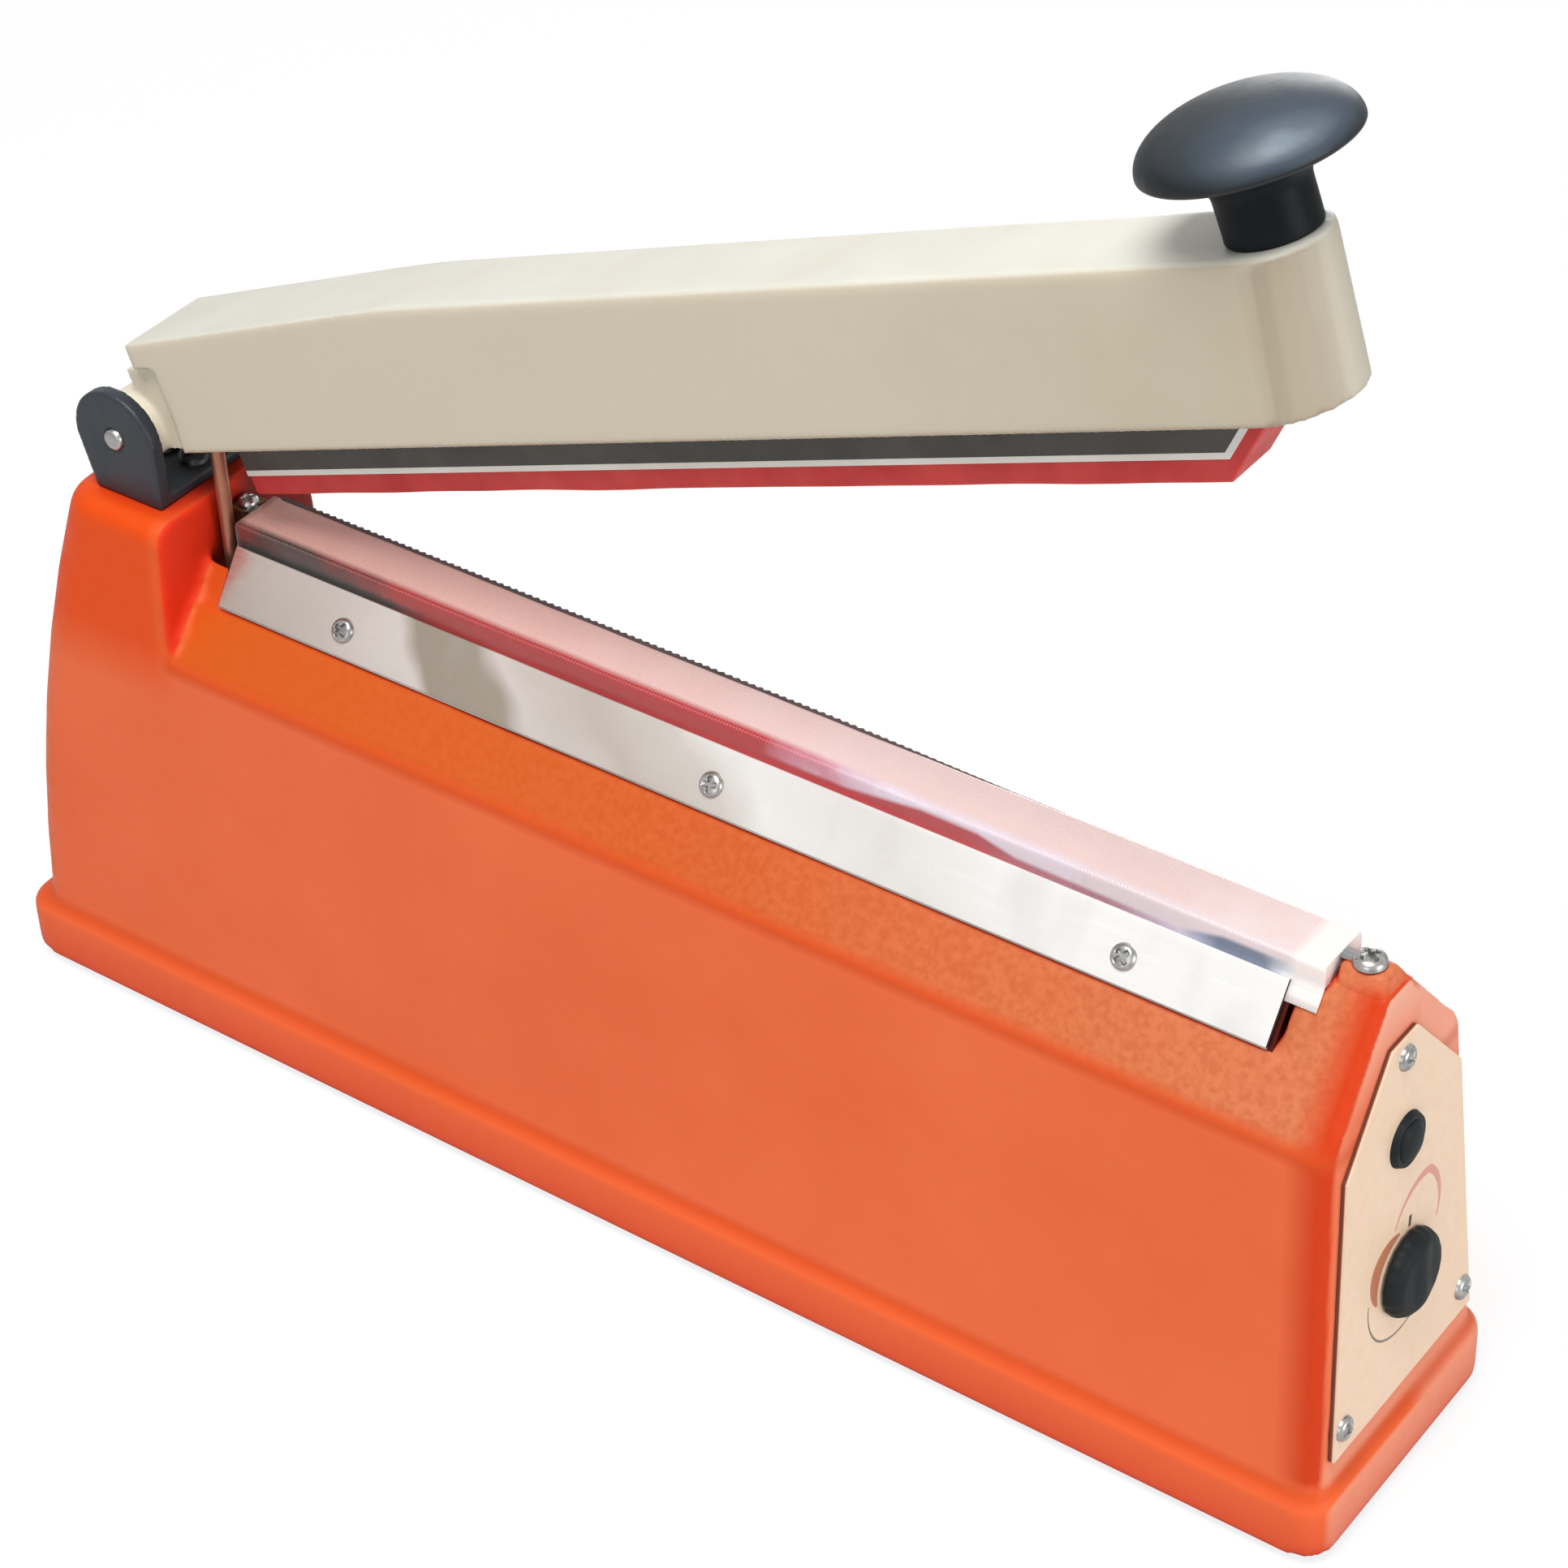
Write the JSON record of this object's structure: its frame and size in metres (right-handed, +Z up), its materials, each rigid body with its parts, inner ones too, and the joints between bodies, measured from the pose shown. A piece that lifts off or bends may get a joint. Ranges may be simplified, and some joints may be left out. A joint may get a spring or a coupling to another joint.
{
  "type": "impulse sealer",
  "caption": "Hand impulse sealer: hollow casting with a heated jaw along its ridge, a sprung press arm hinged at one end with a mushroom knob, and a timer knob and button on the end panel.",
  "frame": {"origin": "on the surface it stands on, under the middle of the whole object at rest", "axes": "+X along the body from the hinge end to the control end, +Z up, -Y towards the front"},
  "size_m": [0.3304, 0.064, 0.2784],
  "materials": {
    "orange_paint": "satin",
    "steel": "satin",
    "bright_steel": "polished",
    "black_rubber": "matte",
    "panel_paint": "satin",
    "dark_metal": "satin",
    "board_green": "matte",
    "relay_blue": "satin",
    "black_plastic": "satin",
    "jaw_aluminium": "satin",
    "red_rubber": "matte",
    "cover_sheet": "satin",
    "brass": "satin",
    "black_paint": "satin",
    "lamination": "matte",
    "copper": "satin",
    "white_plastic": "satin",
    "arm_plastic": "satin",
    "cream_plastic": "satin",
    "bar_plastic": "satin",
    "slate_plastic": "satin"
  },
  "bodies": {
    "base": {"body_casting": "orange_paint", "bottom_plate": "steel", "rubber_feet": "black_rubber", "bottom_screws": "steel", "cord_gland": "black_rubber", "end_panel": "panel_paint", "end_panel_screws": "steel", "timer_pot": "dark_metal", "pot_nut": "steel", "timer_board": "board_green", "timer_relay": "relay_blue", "timer_capacitor": "relay_blue", "power_switch_body": "black_plastic", "power_switch_nut": "black_plastic", "jaw_bar": "jaw_aluminium", "jaw_screws": "steel", "insulating_strip": "red_rubber", "heating_wire": "steel", "ptfe_cover": "cover_sheet", "front_clamp_strip": "bright_steel", "rear_clamp_strip": "bright_steel", "front_clamp_screws": "steel", "rear_clamp_screws": "steel", "left_terminal": "brass", "left_terminal_screw": "steel", "right_terminal": "brass", "right_terminal_screw": "steel", "hinge_bracket": "black_paint", "bracket_screws": "steel", "hinge_pin": "bright_steel", "transformer_core": "lamination", "transformer_coil": "copper", "transformer_strap": "steel", "strap_screws": "steel", "switch_bracket": "steel", "switch_bracket_screws": "steel", "microswitch": "black_plastic", "microswitch_screws": "steel", "rod_bush": "white_plastic", "return_spring": "steel"},
    "arm": {"arm_shell": "arm_plastic", "hinge_block": "cream_plastic", "hinge_block_screws": "steel", "pressure_bar": "bar_plastic", "bar_screws": "steel", "backing_strip": "white_plastic", "silicone_strip": "red_rubber", "press_knob": "slate_plastic", "knob_stud": "steel"},
    "trigger": {"trigger_rod": "copper", "rod_collar": "steel"},
    "lever": {"switch_lever": "steel"},
    "timer": {"timer_knob": "black_plastic", "timer_shaft": "steel"},
    "button": {"power_button": "black_plastic"}
  },
  "joints": [
    {"name": "arm_hinge", "type": "hinge", "parent": "base", "child": "arm", "pos_m": [-0.1292, 0, 0.1365], "axis": [0, 1, 0], "range_deg": [0, 20.4], "stiffness_Nm_per_rad": 1.5, "springref_deg": -34.38},
    {"name": "rod_slide", "type": "slide", "parent": "base", "child": "trigger", "axis": [0, 0, -1], "range_m": [0, 0.00593], "deforming": ["return_spring"]},
    {"name": "lever_hinge", "type": "hinge", "parent": "base", "child": "lever", "pos_m": [-0.13991, -0.005, 0.0505], "axis": [0, 1, 0], "range_deg": [0, 12.06]},
    {"name": "timer_turn", "type": "hinge", "parent": "base", "child": "timer", "pos_m": [0.15733, 0, 0.0505], "axis": [0.9987, 0, 0.0503], "range_deg": [-135, 135]},
    {"name": "button_press", "type": "slide", "parent": "base", "child": "button", "axis": [-0.9987, 0, -0.0503], "range_m": [0, 0.0016], "stiffness_N_per_m": 500, "springref_m": -0.002}
  ],
  "couplings": [
    {"joint": "rod_slide", "follows": "arm_hinge", "m_per_rad": 0.016604},
    {"joint": "lever_hinge", "follows": "arm_hinge", "ratio": 0.59082}
  ]
}
